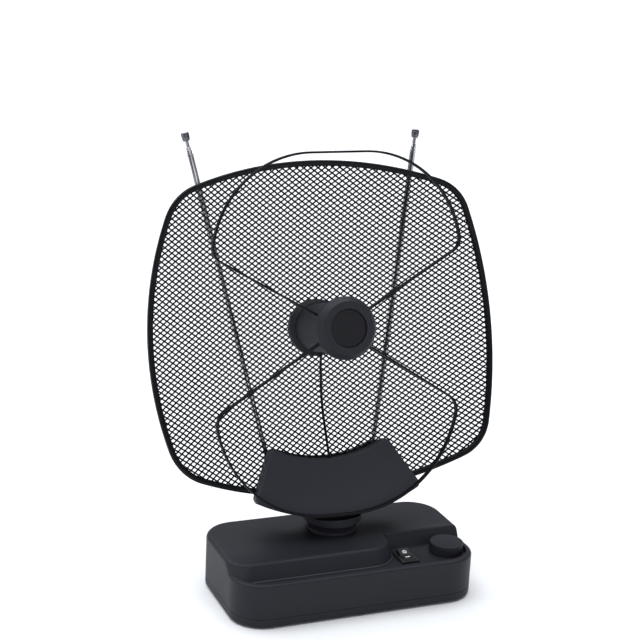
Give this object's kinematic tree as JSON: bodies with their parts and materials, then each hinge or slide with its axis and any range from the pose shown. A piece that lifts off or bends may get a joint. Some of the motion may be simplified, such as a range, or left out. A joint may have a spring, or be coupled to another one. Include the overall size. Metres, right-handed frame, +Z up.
{
  "type": "indoor fm antenna",
  "caption": "Table-top radio antenna: low base with switch and gain knob, swivelling dished mesh reflector, strip-loop dipole on a central hub and telescopic rods.",
  "frame": {"origin": "plan centre of the base, on the surface that its feet stand on", "axes": "+Z up, -Y to the front where the controls are, +X to the right seen from the front"},
  "size_m": [0.3052, 0.1826, 0.3625],
  "materials": {
    "black_plastic": "fine moulded texture, matte",
    "knob_plastic": "smooth, satin",
    "switch_plastic": "glossy",
    "rubber": "matte",
    "coated_wire": "black coating, satin",
    "lead_sheath": "satin",
    "chrome": "polished",
    "steel": "zinc plated",
    "brass": "nickel plated",
    "board": "lacquered"
  },
  "bodies": {
    "base": {"base_housing": "black_plastic", "bottom_cover": "black_plastic", "rubber_feet": "rubber", "base_screws": "steel", "ballast_plate": "steel", "amplifier_board": "board", "board_screws": "steel", "rocker_housing": "switch_plastic", "gain_pot": "steel", "output_jack": "brass", "jack_nut": "brass", "power_jack": "switch_plastic"},
    "turret": {"holder": "black_plastic", "swivel_retainer": "black_plastic", "retainer_screws": "steel", "front_cover": "black_plastic", "cover_screws": "steel", "matching_board": "board", "rod_pivot_screws": "steel", "reflector_screen": "coated_wire", "reflector_rim": "coated_wire", "hub_body": "black_plastic", "hub_front_cap": "black_plastic", "hub_disc": "knob_plastic", "hub_backplate": "black_plastic", "hub_screw": "steel", "upper_loop": "coated_wire", "lower_loop": "coated_wire", "feed_lead": "lead_sheath"},
    "rocker": {"rocker_button": "switch_plastic"},
    "knob": {"gain_knob": "knob_plastic", "gain_shaft": "steel"},
    "left_rod": {"left_rod_eye": "chrome", "left_rod_tube_1": "chrome"},
    "left_stage_2": {"left_rod_tube_2": "chrome"},
    "left_stage_3": {"left_rod_tube_3": "chrome"},
    "left_stage_4": {"left_rod_tip": "chrome"},
    "right_rod": {"right_rod_eye": "chrome", "right_rod_tube_1": "chrome"},
    "right_stage_2": {"right_rod_tube_2": "chrome"},
    "right_stage_3": {"right_rod_tube_3": "chrome"},
    "right_stage_4": {"right_rod_tip": "chrome"}
  },
  "joints": [
    {"name": "turret_swivel", "type": "hinge", "parent": "base", "child": "turret", "pos_m": [0, 0.019, 0.045], "axis": [0, 0, 1], "range_deg": [-160, 160]},
    {"name": "rocker_tilt", "type": "hinge", "parent": "base", "child": "rocker", "pos_m": [0.0472, -0.0292, 0.0342], "axis": [1, 0, 0], "range_deg": [-26, 0]},
    {"name": "knob_turn", "type": "hinge", "parent": "base", "child": "knob", "pos_m": [0.0856, -0.0259, 0.034], "axis": [0, 0, 1], "range_deg": [-150, 150]},
    {"name": "left_rod_swing", "type": "hinge", "parent": "turret", "child": "left_rod", "pos_m": [-0.0436, 0.04558, 0.0787], "axis": [0, -0.9632, 0.2689], "range_deg": [-11.4, 65]},
    {"name": "left_slide_1", "type": "slide", "parent": "left_rod", "child": "left_stage_2", "axis": [-0.1977, 0.2636, 0.9442], "range_m": [0, 0.23]},
    {"name": "left_slide_2", "type": "slide", "parent": "left_stage_2", "child": "left_stage_3", "axis": [-0.1977, 0.2636, 0.9442], "range_m": [0, 0.23]},
    {"name": "left_slide_3", "type": "slide", "parent": "left_stage_3", "child": "left_stage_4", "axis": [-0.1977, 0.2636, 0.9442], "range_m": [0, 0.23]},
    {"name": "right_rod_swing", "type": "hinge", "parent": "turret", "child": "right_rod", "pos_m": [0.0436, 0.04558, 0.0787], "axis": [0, -0.9632, 0.2689], "range_deg": [-65, 12]},
    {"name": "right_slide_1", "type": "slide", "parent": "right_rod", "child": "right_stage_2", "axis": [0.2079, 0.263, 0.9421], "range_m": [0, 0.23]},
    {"name": "right_slide_2", "type": "slide", "parent": "right_stage_2", "child": "right_stage_3", "axis": [0.2079, 0.263, 0.9421], "range_m": [0, 0.23]},
    {"name": "right_slide_3", "type": "slide", "parent": "right_stage_3", "child": "right_stage_4", "axis": [0.2079, 0.263, 0.9421], "range_m": [0, 0.23]}
  ]
}
